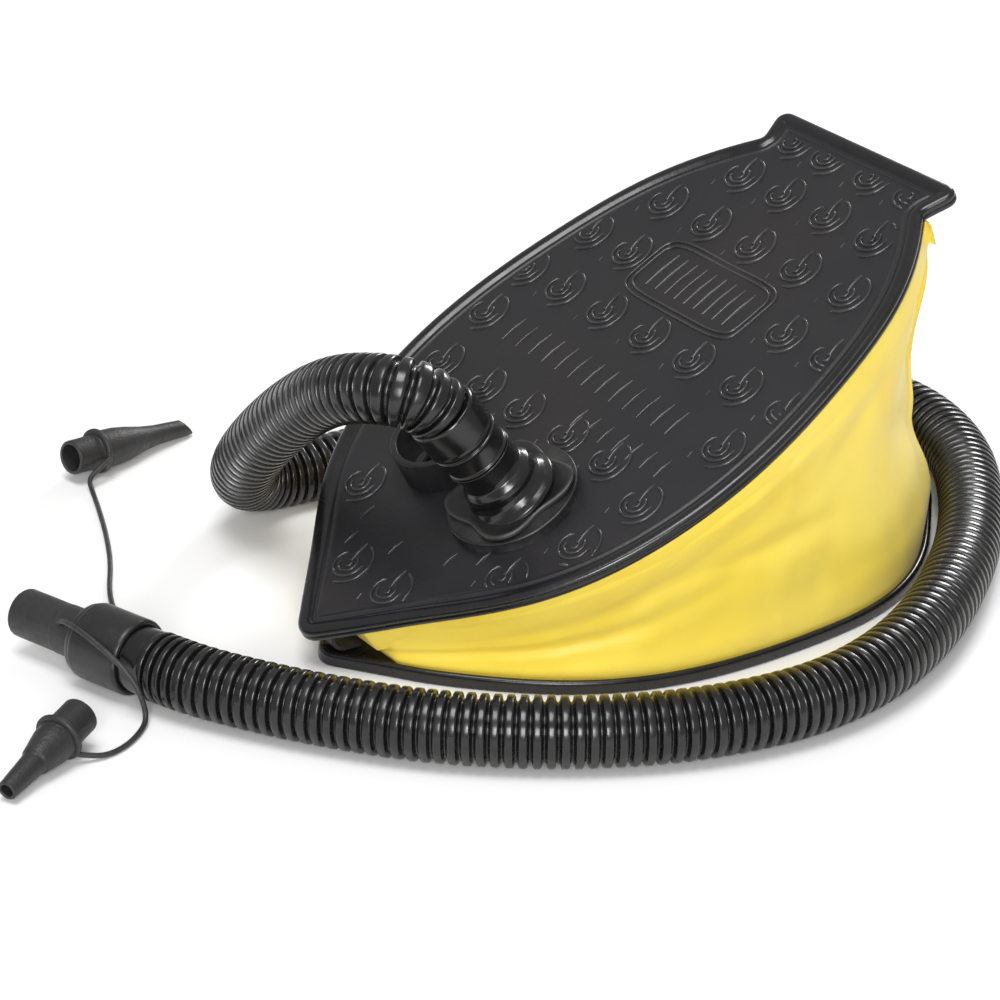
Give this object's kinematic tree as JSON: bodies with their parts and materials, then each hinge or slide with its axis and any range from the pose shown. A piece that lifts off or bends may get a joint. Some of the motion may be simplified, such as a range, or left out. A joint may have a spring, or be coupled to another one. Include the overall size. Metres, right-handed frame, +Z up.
{
  "type": "foot bellows air pump",
  "caption": "Foot-operated bellows air pump: hinged tread plates, vinyl bellows, return spring, inlet and outlet ports, corrugated hose, nozzle and tethered tip adapters.",
  "frame": {"origin": "middle of the pump's footprint, on the floor under the lower plate, without the hose", "axes": "+X from the hinged pointed front to the tail, +Z up, +Y towards the side of the air inlet"},
  "size_m": [0.4358, 0.3342, 0.1401],
  "materials": {
    "tread_plastic": "satin moulded, charcoal",
    "hinge_rubber": "matte",
    "bellows_vinyl": "glossy soft sheet, yellow",
    "spring_steel": "drawn wire",
    "seat_plastic": "moulded",
    "port_plastic": "moulded, semi gloss",
    "valve_rubber": "soft matte",
    "connector_plastic": "moulded, semi gloss",
    "hose_vinyl": "glossy corrugated",
    "collar_plastic": "satin",
    "nozzle_plastic": "fine grained matte"
  },
  "bodies": {
    "base": {"base_plate": "tread_plastic", "hinge_web": "hinge_rubber", "bellows": "bellows_vinyl", "spring": "spring_steel", "spring_seat_lower": "seat_plastic", "hose_upper": "hose_vinyl", "hose_floor": "hose_vinyl", "hose_end_cuff": "hose_vinyl", "nozzle_collar": "collar_plastic", "nozzle_tube": "nozzle_plastic", "strap_ring_long": "nozzle_plastic", "strap_ring_short": "nozzle_plastic", "tether_long": "nozzle_plastic", "tether_short": "nozzle_plastic"},
    "top": {"top_plate": "tread_plastic", "spring_seat_upper": "seat_plastic", "inlet_collar": "port_plastic", "inlet_valve_seat": "seat_plastic", "inlet_lock_ring": "seat_plastic", "outlet_bush": "port_plastic", "outlet_valve_seat": "seat_plastic", "outlet_lock_ring": "seat_plastic", "outlet_gasket": "valve_rubber", "outlet_connector": "connector_plastic", "hose_cuff": "hose_vinyl"},
    "inlet_valve": {"inlet_valve_disc": "valve_rubber"},
    "outlet_valve": {"outlet_valve_disc": "valve_rubber"},
    "long_adapter": {"adapter_long": "nozzle_plastic"},
    "short_adapter": {"adapter_short": "nozzle_plastic"}
  },
  "joints": [
    {"name": "plate_hinge", "type": "hinge", "parent": "base", "child": "top", "pos_m": [-0.12229, 0, 0.01115], "axis": [0, 1, 0], "range_deg": [0, 24], "stiffness_Nm_per_rad": 12, "springref_deg": -11.46, "deforming": ["bellows", "spring", "hinge_web", "hose_upper"]},
    {"name": "inlet_valve_lift", "type": "slide", "parent": "top", "child": "inlet_valve", "axis": [-0.4509, 0, 0.8926], "range_m": [0, 0.0015]},
    {"name": "outlet_valve_lift", "type": "slide", "parent": "top", "child": "outlet_valve", "axis": [-0.4509, 0, 0.8926], "range_m": [0, 0.0015]},
    {"name": "long_adapter_turn", "type": "hinge", "parent": "base", "child": "long_adapter", "pos_m": [-0.12184, 0.1767, 0.0092], "axis": [0.972, 0.205, -0.115], "continuous": true},
    {"name": "short_adapter_turn", "type": "hinge", "parent": "base", "child": "short_adapter", "pos_m": [-0.2358, -0.00756, 0.00927], "axis": [-0.8774, -0.4557, -0.1502], "continuous": true}
  ]
}
